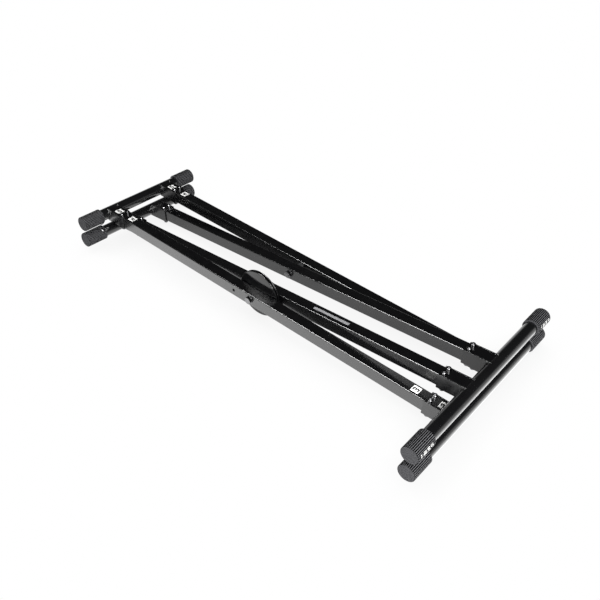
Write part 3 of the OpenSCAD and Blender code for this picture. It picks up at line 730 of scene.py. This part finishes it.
# %% [markdown]
# ## The ground
#
# The folded stand doesn't lie level: its lock discs are deeper than its end caps, so it rests on
# the discs and on the two right-hand caps, and the ground is that plane. A white floor under a
# lamp would come out grey, so the camera sees through it to the white studio, tinted only where
# the stand shades it, which gives a soft contact shadow. Lamplight and mirror images pass through
# it too, so the stand can mirror a table that is lit from below. Other light finds a pale matte
# floor that sends it back up.

# %% Floor
GROUND_NORMAL = Vector((-0.0477, -0.0036, 0.9989)).normalized()
# A point of the ground, a hair below the discs so that they don't cut into it
UNDER_DISCS = Vector((-0.062, PIVOT_Y, -0.0006))
# The floor is 8 m square, so that its edges are far outside the picture
HALF_FLOOR = 4
across = GROUND_NORMAL.cross(Vector((0, 1, 0))).normalized()
onwards = GROUND_NORMAL.cross(across)
corners = [UNDER_DISCS + HALF_FLOOR * (across * a + onwards * b)
           for a, b in ((-1, -1), (1, -1), (1, 1), (-1, 1))]
floor_mesh = bpy.data.meshes.new("floor")
floor_mesh.from_pydata([tuple(corner) for corner in corners], [], [(0, 1, 2, 3)])
floor = bpy.data.objects.new("floor", floor_mesh)
bpy.context.scene.collection.objects.link(floor)
print("the ground is tilted by %.1f degrees" % degrees(GROUND_NORMAL.angle(Vector((0, 0, 1)))))

# %% A ground that is white to the camera
ground = bpy.data.materials.new("matte_white_ground")
ground.use_nodes = True
tree = ground.node_tree
tree.nodes.clear()
path = put(tree, "ShaderNodeLightPath")
seen = path.outputs["Is Camera Ray"]
for kind in ("Is Glossy Ray", "Is Transmission Ray", "Is Shadow Ray"):
    either = put(tree, "ShaderNodeMath", links={0: seen, 1: path.outputs[kind]},
                 operation="MAXIMUM")
    seen = either.outputs[0]
nearby = put(tree, "ShaderNodeAmbientOcclusion", {"Distance": 0.10}, samples=8)
shade = put(tree, "ShaderNodeMapRange",
            {"From Min": 0.2, "From Max": 0.9, "To Min": 0.88, "To Max": 1.0},
            {"Value": nearby.outputs["AO"]})
tint = put(tree, "ShaderNodeMix", {COLOUR_A: (1, 1, 1, 1)},
           {FACTOR: path.outputs["Is Camera Ray"], COLOUR_B: shade.outputs["Result"]},
           data_type="RGBA")
clear = put(tree, "ShaderNodeBsdfTransparent", links={"Color": tint.outputs[MIXED]})
matte = put(tree, "ShaderNodeBsdfDiffuse", {"Color": linear("#e6e6e4")})
both = put(tree, "ShaderNodeMixShader", links={0: seen, 1: matte.outputs[0], 2: clear.outputs[0]})
put(tree, "ShaderNodeOutputMaterial", links={"Surface": both.outputs[0]})
floor_mesh.materials.append(ground)
print("ground made of", len(tree.nodes), "shader nodes")

# %% [markdown]
# ## Light
#
# A black object is drawn by what it mirrors, so lamps that only shine on it would leave it flat.
# It lies on a translucent white table that is lit from below, under a dim ceiling: the arms' tops
# mirror the ceiling and stay black, while their sides and the tubes' undersides mirror the bright
# table. Two strips just under the table make the left arm's side and the near tubes' undersides
# the palest, as pictured. A key lamp at the near left lights the pale things. Two lamps high on
# the left show in glossy paint alone: one draws the thin bright line along each arm's edge, and
# the other is seen twice mirrored between the left arms, near the feet.

# %% Studio
world = bpy.data.worlds.new("studio")
bpy.context.scene.world = world
world.use_nodes = True
tree = world.node_tree
tree.nodes.clear()
path = put(tree, "ShaderNodeLightPath")
direction = put(tree, "ShaderNodeTexCoord")
axes = put(tree, "ShaderNodeSeparateXYZ", links={0: direction.outputs["Generated"]})
ceiling = put(tree, "ShaderNodeMapRange",
              {"From Min": -0.02, "From Max": 0.40, "To Min": 0.8, "To Max": 0.03},
              {"Value": axes.outputs["Z"]}, interpolation_type="SMOOTHSTEP")
room = put(tree, "ShaderNodeBackground", {"Color": (1, 1, 1, 1)},
           {"Strength": ceiling.outputs["Result"]})
white = put(tree, "ShaderNodeBackground", {"Color": (1, 1, 1, 1), "Strength": 1.0})
both = put(tree, "ShaderNodeMixShader",
           links={0: path.outputs["Is Camera Ray"], 1: room.outputs[0], 2: white.outputs[0]})
put(tree, "ShaderNodeOutputWorld", links={"Surface": both.outputs[0]})
print("studio made of", len(tree.nodes), "shader nodes")


# %% Lamps
def softbox(name, place, target, width, height, power):
    """A rectangular area lamp that faces its target."""
    lamp = bpy.data.lights.new(name, "AREA")
    lamp.shape, lamp.size, lamp.size_y, lamp.energy = "RECTANGLE", width, height, power
    thing = bpy.data.objects.new(name, lamp)
    bpy.context.scene.collection.objects.link(thing)
    thing.location = place
    facing = Vector(target) - Vector(place)
    thing.rotation_euler = facing.to_track_quat("-Z", "Y").to_euler()
    thing.visible_camera = False
    return thing


# Each has its place, its target, its width and height in metres, and its power in watts
softbox("key_softbox", (-1.4, -1.9, 1.9), (0.0, 0.0, 0.05), 1.4, 1.4, 200)
edge_lamp = softbox("edge_softbox", (-0.80, 0.475, 1.65), (-0.80, 0.475, 0.0), 0.5, 1.10, 122)
joint_lamp = softbox("joint_softbox", (-1.63, 0.40, 1.65), (-0.08, -0.35, 0.06), 0.5, 0.55, 16)
for lamp in (edge_lamp, joint_lamp):
    lamp.visible_diffuse = False
softbox("table_light", (-0.3, -0.3, -1.0), (-0.3, -0.3, 0.0), 4.0, 4.0, 18.5)
softbox("side_strip_light", (-0.33, 0.15, -0.06), (-0.33, 0.15, 0.5), 0.36, 1.60, 2.6)
softbox("front_strip_light", (0.10, -0.72, -0.06), (0.10, -0.72, 0.5), 0.95, 0.40, 0.95)
print("lamps:", len(bpy.data.lights))

# %% [markdown]
# ## Camera
#
# The camera stands where the photograph was taken. Its place, direction and field of view could
# be set by eye, but they were solved from the stand's own straight edges, which is closer. The
# small shift is how far the picture's middle lies from the lens axis.

# %% Camera
# The focal length was solved in pixels, and the width of the sensor turns it to millimetres
SENSOR_MM, PICTURE_PX, FOCAL_PX = 36, 600, 691.934
lens = bpy.data.cameras.new("camera")
lens.sensor_width = SENSOR_MM
lens.lens = SENSOR_MM * FOCAL_PX / PICTURE_PX
lens.shift_x, lens.shift_y = 0.01566, 0.00881
camera = bpy.data.objects.new("camera", lens)
bpy.context.scene.collection.objects.link(camera)
right = Vector((0.65767937, -0.75316048, 0.01439237))
down = Vector((-0.45501854, -0.41241554, -0.78922212))
forward = Vector((0.60034655, 0.51250631, -0.61393917))
# A camera's own axes are right, up and backwards
turn = Matrix([right, -down, -forward]).transposed().to_4x4()
camera.matrix_world = Matrix.Translation((-0.99513, -0.87595, 1.01751)) @ turn
bpy.context.scene.camera = camera
bpy.context.scene.view_settings.view_transform = "Standard"
print("lens: %.1f mm on a %d mm sensor" % (lens.lens, SENSOR_MM))
